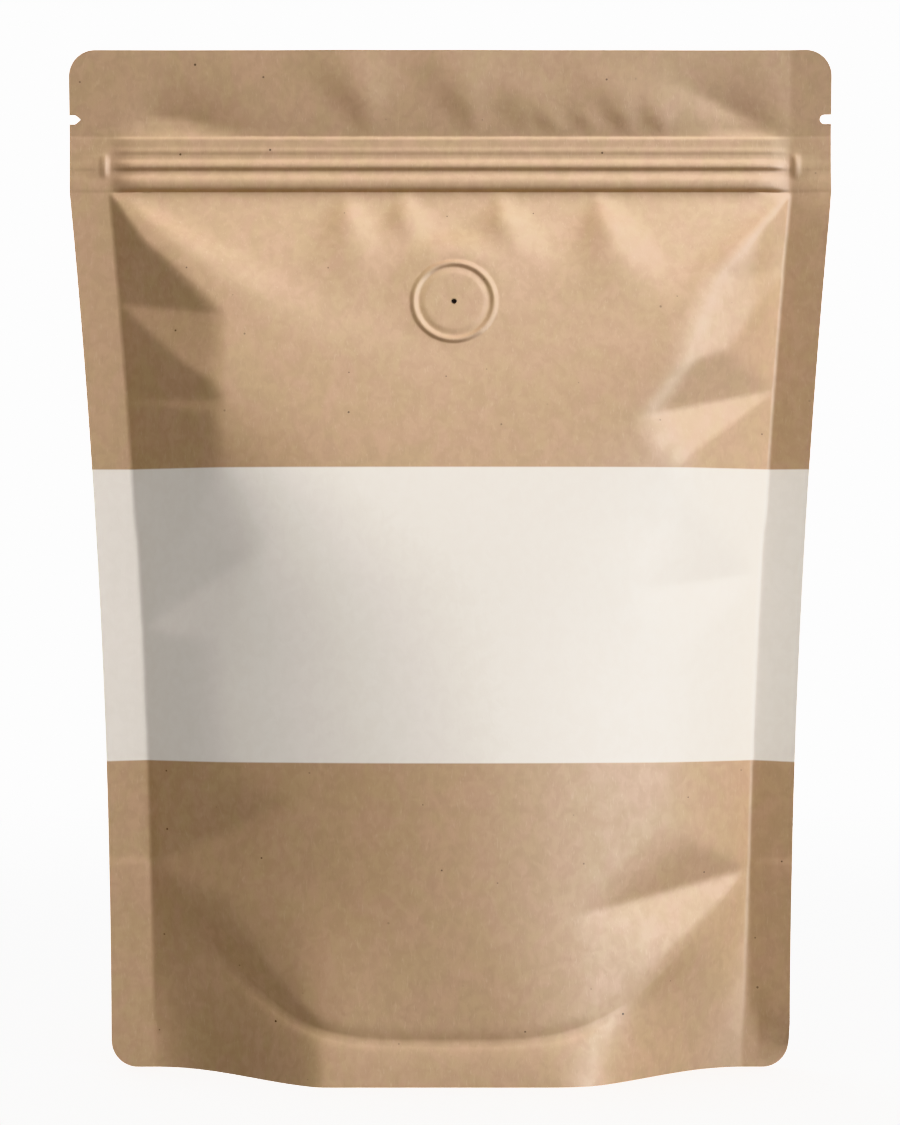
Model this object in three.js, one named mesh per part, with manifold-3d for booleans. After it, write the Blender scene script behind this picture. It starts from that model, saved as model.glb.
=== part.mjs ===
// Stand-up pouch of laminated kraft paper, filled and shut: a flat header with tear notches, a zip
// pressed shut, a body that bulges between two flat side seals, and a folded gusset that it stands on.
// Millimetres, +Z up. The front faces -Y and the origin is on the ground under the middle of the pouch.
import * as THREE from "three";
import { mergeVertices } from "three/addons/utils/BufferGeometryUtils.js";
import Module from "manifold-3d";

// Outline of the pouch seen from the front
const HEIGHT = 229.5;
const HEADER_WIDTH = 172;
const FOOT_WIDTH = 153;
const SEAL_WIDTH = 9;
const CORNER_RADIUS = 6;
const FILM = 0.5;

// What differs between the left and the right: how far a side seal leans forward, how far the foot seal
// nips the body in, and how far the body swells out over that seal
const SIDES = {
  left: { lean: 0.02, nip: 2.2, cheek: 0.8 },
  right: { lean: 0.28, nip: 0.3, cheek: 2.8 },
};
const LEAN_FOOT = [7, 17];
const LEAN_HEADER = [190, 205];
const HEADER_LEAN = 0.4;

// Filled body: how far each panel stands out from the plane of the side seals. Its section is an arch low
// down. Higher up it opens out flat, and the slope at the seals and the pinches hold it down.
const BODY_DEPTH = 25.5;
const TAPER_POWER = 4.2;
const ZIP_LEAN = 0.9;
const ZIP_FILLET = 2;
const ZIP_END = 9;
const ARCH_EDGE = 0.12;
const ARCH_EDGE_POWER = 10;
const FULL_POWER = 3.6;
const FULL_ZONE = [85, 150];
const FLAT_ZONE = [118, 165];
const DIP = 0.1;
const DIP_ZONE = [110, 170];
const SEAL_SLOPE = 0.75;

// Foot: a skirt sealed to the gusset along a curve that rises to the side seals. Seen from above the skirt
// is flat in the middle, and bends back to the side seals from a corner.
const FOOT_DEPTH = 26;
const SKIRT_HEIGHT = 9.5;
const GUSSET_RISE = 45.5;
const SKIRT_CORNER = 0.42;
const SKIRT_END = 0.985;
const SKIRT_BEND = { start: 0.4, span: 1.2 };
const SKIRT_ZONE = [8, 45];
const SKIRT_FLARE = 0.6;
const SKIRT_WALL = 0.8;
const MIDDLE_NIP = 0.35;
const NIP_MIDDLE = [0.55, 0.38];
const NIP_EDGE = [1, 0.7];
const ROLL_ZONE = [0.4, 0.7];
const ROLL_MIDDLE = 2.5;
const ROLL_SIDE = 9;
const CHEEK_START = [0.48, 0.72];
const CHEEK_END = [1, 0.82];
const CHEEK_LIFT = 9;
const CHEEK_REACH = 14;
const GUSSET_END = 0.84;
const GUSSET_CURVE = 1.6;
const BELLY_DROP = 1.5;
const BELLY_LIFT = 48;
const BELLY_CURVE = 4;
const FOLD_DROP = 4;
const SEAL_BAND = 1;
const BELOW_GROUND = 4;

// Zip: a tape with two pressed ribs, between the side seals
const ZIP_BOTTOM = 197.6;
const ZIP_TOP = 210.2;
const TAPE_RISE = 0.4;
const TAPE_END = 5;
const RIBS = [
  { z: 199.5, under: 1.9, over: 2.6, rise: 0.75 },
  { z: 203.4, under: 1.2, over: 2.0, rise: 0.65 },
];
const HEADER_BULGE = 0.5;
const HEADER_POWER = 5;

// Valve pressed into the front, and the tear notches in the header
const VALVE = { x: 0.9, z: 172.2, radius: 9.9, ring: 1.9, rise: 0.5, face: 0.25, root: 2, flat: 18 };
const VALVE_WALL = 0.2;
const VALVE_CREST = 0.4;
const VENT = { radius: 0.6, depth: 3, segments: 16 };
const VALVE_TILT = 0.8;
const NOTCH = { z: 214, depth: 2.5, height: 2.0 };
const CUT_DEPTH = 12;
const CUT_OVER = 3;

// Pinches: each is a valley that runs from a point on a side seal to a tip on the bulging body.
// seal is the height on the seal, inset and drop place the tip, sink is how far the tip lies under the
// smooth panel, and up and down are the slopes of the facets above and below the valley.
const FRONT_PINCHES = [
  { side: -1, seal: 172.5, inset: 16.5, drop: 2.2, sink: 2.9, up: 0.12, down: 0.29 },
  { side: -1, seal: 150.8, inset: 19, drop: 0.6, sink: 1.9, up: 0.1, down: 0.3 },
  { side: -1, seal: 98.6, inset: 22.5, drop: -14.3, sink: 1.2, up: 0.14, down: 0.2 },
  { side: -1, seal: 75.1, inset: 12, drop: -3, sink: 0.5, up: 0.25, down: 0.3 },
  { side: -1, seal: 45.7, inset: 21, drop: -10, sink: 2, up: 0.2, down: 0.2 },
  { side: 1, seal: 179.5, inset: 13, drop: 5, sink: 2.2, up: 0.12, down: 0.17 },
  { side: 1, seal: 152.7, inset: 23, drop: 5.1, sink: 2.6, up: 0.2, down: 0.34 },
  { side: 1, seal: 111.5, inset: 23, drop: 3, sink: 0.5, up: 0.14, down: 0.16 },
  { side: 1, seal: 44.7, inset: 33, drop: 6.6, sink: 0.6, up: 0.26, down: 0.3 },
];
const BACK_PINCHES = [
  { side: -1, seal: 158, inset: 23, drop: 4, sink: 1.2, up: 0.26, down: 0.34 },
  { side: -1, seal: 108, inset: 24, drop: 3, sink: 1, up: 0.26, down: 0.3 },
  { side: -1, seal: 46, inset: 33, drop: 6, sink: 1, up: 0.26, down: 0.24 },
  { side: 1, seal: 168, inset: 20, drop: 1, sink: 0.8, up: 0.05, down: 0.34 },
  { side: 1, seal: 147, inset: 21, drop: 1, sink: 0.8, up: 0.05, down: 0.2 },
  { side: 1, seal: 94, inset: 21, drop: -10, sink: 1, up: 0.1, down: 0.24 },
  { side: 1, seal: 45, inset: 26, drop: -12, sink: 1, up: 0.1, down: 0.3 },
];

// Mesh fineness
const BODY_COLUMNS = 38;
const FIN_COLUMNS = 2;
const SKIRT_ROWS = 4;
const BODY_ROWS = 34;
const RIB_ROWS = [0.98, 0.5];
const STEP_UNDER = 0.2;
const STEP_OVER = 0.3;
const CROWDING = 0.7;
const HEADER_ROWS = 4;
const GUSSET_COLUMNS = 32;
const GUSSET_ROWS = 8;
const VALVE_SEGMENTS = 40;
const CUT_SEGMENTS = 8;
const WELD_DISTANCE = 1e-4;

const clamp = (value, low, high) => Math.min(high, Math.max(low, value));
const lerp = (a, b, share) => a + (b - a) * share;
const smoothstep = (low, high, value) => {
  const share = clamp((value - low) / (high - low), 0, 1);
  return share * share * (3 - 2 * share);
};

// The surface is addressed by across, which is -1 and 1 on the two seal lines, and by height z.
const sideOf = (across) => (across < 0 ? SIDES.left : SIDES.right);
const halfWidth = (z) => lerp(FOOT_WIDTH, HEADER_WIDTH, Math.min(1, z / ZIP_BOTTOM) ** 2) / 2;
const sealLine = (z) => halfWidth(z) - SEAL_WIDTH;
const insetAt = (across, z) => (1 - Math.min(1, Math.abs(across))) * sealLine(z);

// The foot seal runs level across the middle and sweeps up to the side seals.
function footSeal(across) {
  const out = Math.min(1, Math.abs(across));
  return lerp(SKIRT_HEIGHT, GUSSET_RISE, out ** 4 * (3 - 2 * out));
}

// The skirt seen from above, as a share of its full depth
function skirtPlan(across) {
  const share = (Math.abs(across) - SKIRT_CORNER) / (SKIRT_END - SKIRT_CORNER);
  const wave = (place) => Math.sin((Math.PI * (place - SKIRT_BEND.start)) / SKIRT_BEND.span);
  return Math.min(1, (1 - wave(clamp(share, 0, 1))) / (1 - wave(0)));
}

function bodyDepth(across, height) {
  const z = clamp(height, 0, ZIP_BOTTOM);
  const full = BODY_DEPTH - ZIP_LEAN;
  const steep = (full * TAPER_POWER) / ZIP_BOTTOM;
  const fillet = steep * ZIP_FILLET * (1 - Math.exp((z - ZIP_BOTTOM) / ZIP_FILLET));
  const taper = full * (1 - (z / ZIP_BOTTOM) ** TAPER_POWER) - fillet;
  const out = Math.min(1, Math.abs(across));
  const arch = 1 - (1 - ARCH_EDGE) * out ** 2 - ARCH_EDGE * out ** ARCH_EDGE_POWER;
  const section = lerp(arch, 1 - out ** FULL_POWER, smoothstep(...FULL_ZONE, z));
  const plan = lerp(skirtPlan(across), section, smoothstep(...SKIRT_ZONE, z));
  const flat = smoothstep(...FLAT_ZONE, z);
  const dip = 1 - DIP * (1 - out ** 2) ** 2 * smoothstep(...DIP_ZONE, z);
  const lean = ZIP_LEAN * lerp(smoothstep(0, ZIP_END, insetAt(across, z)), 1, flat);
  return lean + taper * dip * lerp(plan, 1, flat);
}

// How far the foot seal draws the body in
function footNip(across) {
  const out = Math.abs(across);
  const side = sideOf(across).nip * smoothstep(...NIP_EDGE, out);
  return lerp(side, MIDDLE_NIP, smoothstep(...NIP_MIDDLE, out));
}

// How far the body swells out over the foot seal. On the left it swells above the seal, on the right on it.
function cheek(across, above) {
  const out = Math.abs(across);
  const rise = sideOf(across).cheek * smoothstep(...CHEEK_START, out) * smoothstep(...CHEEK_END, out);
  if (across > 0) return rise * Math.exp(-((above / CHEEK_REACH) ** 2));
  const past = Math.max(0, above - CHEEK_LIFT) / CHEEK_REACH;
  return rise * smoothstep(0, CHEEK_LIFT, above) * Math.exp(-(past ** 2));
}

function smoothDepth(across, z) {
  const seal = footSeal(across);
  const nip = footNip(across);
  if (z < seal) {
    const top = bodyDepth(across, seal) - nip + cheek(across, 0);
    return lerp(top, FOOT_DEPTH * skirtPlan(across), (1 - z / seal) ** SKIRT_FLARE);
  }
  const reach = lerp(ROLL_MIDDLE, ROLL_SIDE, smoothstep(...ROLL_ZONE, Math.abs(across)));
  const roll = nip * Math.max(0, 1 - (z - seal) / reach);
  return bodyDepth(across, z) - roll + cheek(across, z - seal);
}

// A pinch holds the panel down to two planes that meet in the valley.
function pinchLimit(pinch, across, z) {
  const inset = (1 - across * pinch.side) * sealLine(z);
  const tipHeight = pinch.seal - pinch.drop;
  const tipAcross = pinch.side * (1 - pinch.inset / sealLine(tipHeight));
  const steepness = (smoothDepth(tipAcross, tipHeight) - pinch.sink) / pinch.inset;
  const above = z - lerp(pinch.seal, tipHeight, inset / pinch.inset);
  return steepness * inset + (above > 0 ? pinch.up * above : -pinch.down * above);
}

// The tape leans out from the header to the body, and its ribs stand out from it.
function zipDepth(across, z) {
  const inset = insetAt(across, z);
  const lean = (ZIP_LEAN * (ZIP_TOP - z)) / (ZIP_TOP - ZIP_BOTTOM);
  let relief = TAPE_RISE;
  for (const rib of RIBS) {
    const away = Math.min(1, z > rib.z ? (z - rib.z) / rib.over : (rib.z - z) / rib.under);
    relief += (rib.rise * (1 + Math.cos(Math.PI * away))) / 2;
  }
  return lean * smoothstep(0, ZIP_END, inset) + relief * smoothstep(0, TAPE_END, inset);
}

function headerDepth(across, z) {
  const rise = Math.sin((Math.PI * (z - ZIP_TOP)) / (HEIGHT - ZIP_TOP));
  return HEADER_BULGE * rise * (1 - Math.min(1, Math.abs(across)) ** HEADER_POWER);
}

function panelDepth(pinches, across, z) {
  if (z > ZIP_TOP) return headerDepth(across, z);
  if (z > ZIP_BOTTOM) return zipDepth(across, z);
  let depth = Math.min(smoothDepth(across, z), SEAL_SLOPE * insetAt(across, z));
  for (const pinch of pinches) depth = Math.min(depth, pinchLimit(pinch, across, z));
  return Math.max(0, depth);
}

// The stiff valve holds the front flat around itself.
const valvePlane = (() => {
  const depth = smoothDepth(0, VALVE.z);
  const slope = (VALVE_TILT * (smoothDepth(0, VALVE.z + 1) - smoothDepth(0, VALVE.z - 1))) / 2;
  return { depth, slope, at: (z) => depth + slope * (z - VALVE.z) };
})();

function frontDepth(across, z) {
  const depth = panelDepth(FRONT_PINCHES, across, z);
  const away = Math.hypot(across * sealLine(z) - VALVE.x, z - VALVE.z);
  return lerp(valvePlane.at(z), depth, smoothstep(VALVE.radius, VALVE.flat, away));
}

const backDepth = (across, z) => panelDepth(BACK_PINCHES, across, z);

// How far a point on a side seal leans forward
function sealLean(across, out, z) {
  const hold = smoothstep(...LEAN_FOOT, z) * lerp(1, HEADER_LEAN, smoothstep(...LEAN_HEADER, z));
  return sideOf(across).lean * hold * out * SEAL_WIDTH;
}

// A grid row is a share of the foot seal's height plus a fixed lift, so one row runs along that seal.
function gridRows() {
  const rows = [];
  for (let i = 0; i < SKIRT_ROWS; i++) rows.push({ share: i / SKIRT_ROWS, lift: 0 });
  for (let i = 0; i < BODY_ROWS; i++) {
    const rise = i / BODY_ROWS;
    rows.push({ share: 1 - rise, lift: rise * (ZIP_BOTTOM - STEP_UNDER) });
  }
  const level = (z) => rows.push({ share: 0, lift: z });
  level(ZIP_BOTTOM - STEP_UNDER);
  for (const rib of RIBS) {
    for (const share of RIB_ROWS) level(rib.z - share * rib.under);
    level(rib.z);
    for (const share of RIB_ROWS.toReversed()) level(rib.z + share * rib.over);
  }
  level(ZIP_TOP - STEP_UNDER);
  level(ZIP_TOP + STEP_OVER);
  for (let i = 1; i <= HEADER_ROWS; i++) level(lerp(ZIP_TOP + STEP_OVER, HEIGHT, i / HEADER_ROWS));
  return rows;
}

// A grid column is a place across the body, or a share of the way out across a side seal.
function gridColumns() {
  const columns = [];
  for (let i = FIN_COLUMNS; i > 0; i--) columns.push({ across: -1, out: i / FIN_COLUMNS });
  for (let i = 0; i <= BODY_COLUMNS; i++) {
    const even = (2 * i) / BODY_COLUMNS - 1;
    columns.push({ across: lerp(even, Math.sin((Math.PI / 2) * even), CROWDING), out: 0 });
  }
  for (let i = 1; i <= FIN_COLUMNS; i++) columns.push({ across: 1, out: i / FIN_COLUMNS });
  return columns;
}

function surfacePoint(depth, facing, column, row) {
  const z = row.share * footSeal(column.across) + row.lift;
  const x = column.across * (sealLine(z) + column.out * SEAL_WIDTH);
  const y = facing * (FILM / 2 + depth(column.across, z)) - sealLean(column.across, column.out, z);
  return new THREE.Vector3(x, y, z);
}

function pouchGeometry() {
  const rows = gridRows();
  const columns = gridColumns();
  const across = columns.length;
  const up = rows.length;
  const positions = [];
  const index = [];
  for (const [depth, facing] of [[frontDepth, -1], [backDepth, 1]]) {
    for (const row of rows) {
      for (const column of columns) positions.push(...surfacePoint(depth, facing, column, row).toArray());
    }
  }
  const front = (c, r) => r * across + c;
  const back = (c, r) => (up + r) * across + c;
  const quad = (a, b, c, d) => index.push(a, b, c, a, c, d);
  for (let r = 0; r + 1 < up; r++) {
    for (let c = 0; c + 1 < across; c++) {
      // The diagonal follows the lie of the mirrored halves, so folds on both sides run clean.
      if (2 * c < across - 1) {
        quad(front(c, r), front(c + 1, r), front(c + 1, r + 1), front(c, r + 1));
        quad(back(c + 1, r), back(c, r), back(c, r + 1), back(c + 1, r + 1));
      } else {
        quad(front(c + 1, r), front(c + 1, r + 1), front(c, r + 1), front(c, r));
        quad(back(c + 1, r + 1), back(c + 1, r), back(c, r), back(c, r + 1));
      }
    }
    quad(back(0, r), front(0, r), front(0, r + 1), back(0, r + 1));
    quad(front(across - 1, r), back(across - 1, r), back(across - 1, r + 1), front(across - 1, r + 1));
  }
  for (let c = 0; c + 1 < across; c++) {
    quad(back(c, 0), back(c + 1, 0), front(c + 1, 0), front(c, 0));
    quad(front(c, up - 1), front(c + 1, up - 1), back(c + 1, up - 1), back(c, up - 1));
  }
  const geometry = new THREE.BufferGeometry();
  geometry.setAttribute("position", new THREE.Float32BufferAttribute(positions, 3));
  geometry.setIndex(index);
  return geometry;
}

// The hollow under the gusset: front skirt, gusset with its fold, back skirt, closed below the ground.
function gussetHollowGeometry() {
  const loops = [];
  for (let i = 0; i <= GUSSET_COLUMNS; i++) {
    const across = GUSSET_END * ((2 * i) / GUSSET_COLUMNS - 1);
    const seal = footSeal(across);
    const fold = Math.min(seal - FOLD_DROP, BELLY_LIFT * Math.abs(across) ** BELLY_CURVE - BELLY_DROP);
    const loop = [];
    const point = (share, z) => {
      const height = Math.max(0, z);
      const reach = share < 0 ? frontDepth(across, height) : backDepth(across, height);
      const y = share * (FILM / 2 + reach - SKIRT_WALL);
      loop.push(new THREE.Vector3(across * sealLine(height), y, z));
    };
    point(-1, -BELOW_GROUND);
    for (let j = 0; j < SKIRT_ROWS; j++) point(-1, (seal * j) / SKIRT_ROWS);
    for (let j = 0; j <= GUSSET_ROWS; j++) {
      const share = (2 * j) / GUSSET_ROWS - 1;
      point(share, lerp(fold, seal - SEAL_BAND, Math.abs(share) ** GUSSET_CURVE));
    }
    for (let j = SKIRT_ROWS - 1; j >= 0; j--) point(1, (seal * j) / SKIRT_ROWS);
    point(1, -BELOW_GROUND);
    loops.push(loop);
  }
  const size = loops[0].length;
  const positions = loops.flatMap((loop) => loop.flatMap((point) => point.toArray()));
  const index = [];
  for (let i = 0; i + 1 < loops.length; i++) {
    for (let j = 0; j < size; j++) {
      const next = (j + 1) % size;
      const a = i * size + j;
      const b = i * size + next;
      const c = (i + 1) * size + next;
      const d = (i + 1) * size + j;
      index.push(a, c, b, a, d, c);
    }
  }
  const last = (loops.length - 1) * size;
  for (let j = 1; j + 1 < size; j++) {
    index.push(0, j, j + 1);
    index.push(last, last + j + 1, last + j);
  }
  const geometry = new THREE.BufferGeometry();
  geometry.setAttribute("position", new THREE.Float32BufferAttribute(positions, 3));
  geometry.setIndex(index);
  return geometry;
}

// The valve shows as a raised ring around a flat face, tilted with the front.
function placeOnValve(geometry) {
  const tilt = Math.atan(-valvePlane.slope);
  geometry.rotateX(Math.PI - tilt);
  geometry.translate(VALVE.x, -(FILM / 2 + valvePlane.depth), VALVE.z);
  return geometry;
}

function valveGeometry() {
  const middle = VALVE.radius - VALVE.ring / 2;
  const profile = [
    new THREE.Vector2(0, -VALVE.root),
    new THREE.Vector2(VALVE.radius, -VALVE.root),
    new THREE.Vector2(VALVE.radius, VALVE_WALL),
    new THREE.Vector2(middle + VALVE_CREST, VALVE.rise),
    new THREE.Vector2(middle - VALVE_CREST, VALVE.rise),
    new THREE.Vector2(VALVE.radius - VALVE.ring, VALVE.face),
    new THREE.Vector2(0, VALVE.face),
  ];
  return placeOnValve(new THREE.LatheGeometry(profile, VALVE_SEGMENTS));
}

function ventGeometry() {
  return placeOnValve(new THREE.CylinderGeometry(VENT.radius, VENT.radius, VENT.depth, VENT.segments));
}

// Die cuts go right through the flat seals.
function dieCut(shape, x, z, side) {
  const settings = { depth: CUT_DEPTH, bevelEnabled: false, curveSegments: CUT_SEGMENTS };
  const geometry = new THREE.ExtrudeGeometry(shape, settings);
  geometry.translate(0, 0, -CUT_DEPTH / 2);
  geometry.rotateX(Math.PI / 2);
  if (side < 0) geometry.rotateZ(Math.PI);
  geometry.translate(x, 0, z);
  return geometry;
}

function cornerShape(upward) {
  const shape = new THREE.Shape();
  const reach = CORNER_RADIUS + CUT_OVER;
  const start = upward > 0 ? 0 : -Math.PI / 2;
  shape.moveTo(reach, upward * reach);
  if (upward > 0) {
    shape.lineTo(0, reach);
    shape.lineTo(0, CORNER_RADIUS);
    shape.absarc(0, 0, CORNER_RADIUS, Math.PI / 2, start, true);
    shape.lineTo(reach, 0);
  } else {
    shape.lineTo(reach, 0);
    shape.lineTo(CORNER_RADIUS, 0);
    shape.absarc(0, 0, CORNER_RADIUS, 0, start, true);
    shape.lineTo(0, -reach);
  }
  return shape;
}

function notchShape() {
  const shape = new THREE.Shape();
  const half = NOTCH.height / 2;
  shape.moveTo(CUT_OVER, -half);
  shape.lineTo(CUT_OVER, half);
  shape.lineTo(half - NOTCH.depth, half);
  shape.absarc(half - NOTCH.depth, 0, half, Math.PI / 2, (3 * Math.PI) / 2, false);
  return shape;
}

const wasm = await Module();
wasm.setup();

function solidOf(geometry) {
  geometry.deleteAttribute("normal");
  geometry.deleteAttribute("uv");
  const merged = mergeVertices(geometry, WELD_DISTANCE);
  const triVerts = new Uint32Array(merged.index.array);
  return new wasm.Manifold(
    new wasm.Mesh({ numProp: 3, vertProperties: merged.attributes.position.array, triVerts }),
  );
}

function geometryOf(solid) {
  const mesh = solid.getMesh();
  const geometry = new THREE.BufferGeometry();
  geometry.setAttribute("position", new THREE.BufferAttribute(mesh.vertProperties, 3));
  geometry.setIndex(new THREE.BufferAttribute(mesh.triVerts, 1));
  const faceted = geometry.toNonIndexed();
  faceted.computeVertexNormals();
  return faceted;
}

let pouchSolid = solidOf(pouchGeometry());
pouchSolid = pouchSolid.subtract(solidOf(gussetHollowGeometry()));
pouchSolid = pouchSolid.add(solidOf(valveGeometry())).subtract(solidOf(ventGeometry()));
for (const side of [-1, 1]) {
  const topX = side * (halfWidth(HEIGHT) - CORNER_RADIUS);
  const footX = side * (halfWidth(0) - CORNER_RADIUS);
  const cuts = [
    dieCut(cornerShape(1), topX, HEIGHT - CORNER_RADIUS, side),
    dieCut(cornerShape(-1), footX, CORNER_RADIUS, side),
    dieCut(notchShape(), side * halfWidth(NOTCH.z), NOTCH.z, side),
  ];
  for (const cut of cuts) pouchSolid = pouchSolid.subtract(solidOf(cut));
}

const kraftPaper = new THREE.MeshStandardMaterial({ color: 0xb99878, roughness: 0.6 });
const pouch = new THREE.Mesh(geometryOf(pouchSolid), kraftPaper);
pouch.name = "pouch";

const part = new THREE.Group();
part.name = "stand_up_pouch";
part.add(pouch);

export default part;
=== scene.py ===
"""Filled stand-up pouch of kraft paper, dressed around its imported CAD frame."""

import math
from typing import NamedTuple

import bmesh
import bpy
import numpy as np
from mathutils import Matrix, Vector


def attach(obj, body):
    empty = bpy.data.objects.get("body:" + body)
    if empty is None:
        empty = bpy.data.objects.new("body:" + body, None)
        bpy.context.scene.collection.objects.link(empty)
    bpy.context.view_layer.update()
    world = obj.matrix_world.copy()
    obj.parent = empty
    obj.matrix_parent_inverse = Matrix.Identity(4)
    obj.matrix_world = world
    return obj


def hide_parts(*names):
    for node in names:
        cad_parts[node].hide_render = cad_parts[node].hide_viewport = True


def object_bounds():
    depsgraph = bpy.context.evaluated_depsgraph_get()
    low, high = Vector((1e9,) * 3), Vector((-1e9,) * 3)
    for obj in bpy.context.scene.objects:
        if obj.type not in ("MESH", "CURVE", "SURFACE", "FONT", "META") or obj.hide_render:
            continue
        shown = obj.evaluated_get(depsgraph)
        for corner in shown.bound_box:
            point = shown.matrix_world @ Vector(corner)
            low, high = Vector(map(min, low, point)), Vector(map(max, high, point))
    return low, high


bl_info = {
    "name": "Kraft paper pouch",
    "version": (1, 0, 0),
    "blender": (4, 5, 0),
    "location": "View3D > Sidebar > Pouch",
    "description": "Makes a filled stand-up pouch of kraft paper in its CAD frame, and a studio for it",
    "category": "Add Mesh",
}

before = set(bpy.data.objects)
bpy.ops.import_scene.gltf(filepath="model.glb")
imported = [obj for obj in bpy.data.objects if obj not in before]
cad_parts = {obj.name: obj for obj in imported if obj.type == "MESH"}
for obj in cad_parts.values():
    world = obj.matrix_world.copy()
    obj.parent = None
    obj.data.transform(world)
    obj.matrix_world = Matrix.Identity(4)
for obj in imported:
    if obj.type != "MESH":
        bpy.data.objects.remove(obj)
CAD_LOW, CAD_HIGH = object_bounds()
MM = 0.001


def linear(code):
    """Turns an sRGB hex colour into linear red, green and blue."""
    parts = [int(code[i : i + 2], 16) / 255 for i in (1, 3, 5)]
    return tuple(p / 12.92 if p <= 0.04045 else ((p + 0.055) / 1.055) ** 2.4 for p in parts)


def length(name, description, millimetres):
    """A size property, given in millimetres and held in metres."""
    return bpy.props.FloatProperty(
        name=name, description=description, default=millimetres * MM, unit="LENGTH", precision=4
    )


def colour(name, description, code):
    """A colour property, given as sRGB hex and held linear."""
    return bpy.props.FloatVectorProperty(
        name=name, description=description, default=linear(code), subtype="COLOR", min=0, max=1
    )


class PouchSizes(bpy.types.PropertyGroup):
    """Sizes of the pouch."""

    height: length("Height", "From the ground to the top edge", CAD_HIGH.z / MM)
    header_width: length("Header width", "Across the header and the zip", 172)
    foot_width: length("Foot width", "Across the foot", 153)
    seal_width: length("Seal width", "Width of the flat side seals", 9)
    corner_radius: length("Corner radius", "Rounding of the four outer corners", 6)
    film: length("Film", "Thickness of the two panels pressed together", 0.5)
    body_depth: length("Body depth", "How far each panel bulges at its fullest", 25.5)
    foot_depth: length("Foot depth", "How far each skirt stands out on the ground", 26)
    skirt_height: length("Skirt height", "Height of the foot seal in the middle", 9.5)
    gusset_rise: length("Gusset rise", "Height of the foot seal at the side seals", 45.5)
    skirt_wall: length("Skirt wall", "Thickness of the skirt", 0.8)
    zip_bottom: length("Zip bottom", "Height of the zip's lower edge", 197.6)
    zip_top: length("Zip top", "Height of the zip's upper edge", 210.2)
    header_bulge: length("Header bulge", "How far the header's panels stand apart", 0.3)
    valve_x: length("Valve place", "Valve's middle, to the right of the pouch's", 0.9)
    valve_z: length("Valve height", "Height of the valve's middle", 172.2)
    valve_radius: length("Valve radius", "Outside of the ring pressed into the paper", 9.9)
    valve_rise: length("Valve rise", "Height of the ring above the paper", 0.5)
    vent_radius: length("Vent radius", "Pin hole in the valve", 0.6)
    notch_height: length("Notch height", "Height of the tear notches above the ground", 214)
    notch_depth: length("Notch depth", "How far the tear notches go in", 2.5)
    notch_width: length("Notch width", "Width of the tear notches", 2)
    band_bottom: length("Band bottom", "Lower edge of the pale band in the middle", 70.3)
    band_top: length("Band top", "Upper edge of the pale band", 135)
    buckle: length("Buckle", "Height of the paper's fine buckling", 0.12)


class PouchColours(bpy.types.PropertyGroup):
    """Colours of the pouch and its stage."""

    kraft: colour("Kraft", "Paper, most of it", "#BB997B")
    kraft_olive: colour("Olive kraft", "Paper where it is less red", "#B69A75")
    kraft_dark: colour("Dark kraft", "Darker clouds and fibres in the paper", "#A08062")
    fibre: colour("Fibre", "Pale fibres in the paper", "#CFB498")
    speck: colour("Speck", "Bark specks in the paper", "#4A3524")
    # The vent colour is painted shade: it darkens the inside of the pin hole, which lies in shade.
    vent: colour("Vent", "Inside of the valve's pin hole", "#20160F")
    band: colour("Band", "Printed pale band", "#E7DFD5")
    floor: colour("Floor", "Studio floor", "#F2F2F2")


class Side(NamedTuple):
    """What differs between the left and the right of the pouch.

    Lean is how far the side seal leans forward for each millimetre outwards, nip how far the foot seal
    draws the body in, and cheek how far the body swells over that seal. Corner and hem round the skirt's
    corner, up at the body and on the ground, and blend rounds the body where its facets begin."""

    lean: float
    nip: float
    cheek: float
    corner: float
    hem: float
    blend: float


class Pinch(NamedTuple):
    """A valley from a point on a side seal to a tip on the panel, and the facets that meet in it.

    Seal is the height on the seal, inset and drop place the tip, sink is how far the tip lies under the
    smooth panel, and up and down are the slopes of the facets above and below. Crisp rounds the valley."""

    side: int
    seal: float
    inset: float
    drop: float
    sink: float
    up: float
    down: float
    crisp: float


class Pucker(NamedTuple):
    """A ridge that fans out from the zip: where it starts, its lean, height and reach, up or down."""

    x: float
    lean: float
    height: float
    reach: float
    way: int


class Fold(NamedTuple):
    """A crease in the header that starts at an end of the zip.

    It goes as far in as its reach, arching up or climbing. Back is how far it takes the paper back, and
    low and high are how wide the paper slopes under and over it."""

    side: int
    reach: float
    arch: float
    climb: float
    back: float
    low: float
    high: float


class Rib(NamedTuple):
    """A rib of the zip, pressed into the paper: its height above the ground, how far it goes down and up
    from there, and its rise."""

    z: float
    under: float
    over: float
    rise: float


class Grain(NamedTuple):
    """A layer of noise in the paper.

    It has a width and a length in millimetres and a turn in radians. The noise begins to show at low and
    is whole at full, and there it takes its share of the paper to a named colour."""

    name: str
    width: float
    length: float
    turn: float
    low: float
    full: float
    share: float
    colour: str


class Lamp(NamedTuple):
    """An area light: its direction from the pouch, its width and height in metres, and its power in watts.

    One that isn't matt shows only in the gloss."""

    name: str
    way: tuple
    size: tuple
    watts: float
    matt: bool
    shadow: bool


LEFT = Side(lean=0.02, nip=2.2, cheek=0.8, corner=0.15, hem=0.025, blend=2.0)
RIGHT = Side(lean=0.28, nip=0.3, cheek=2.8, corner=0.35, hem=0.12, blend=3.0)

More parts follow.
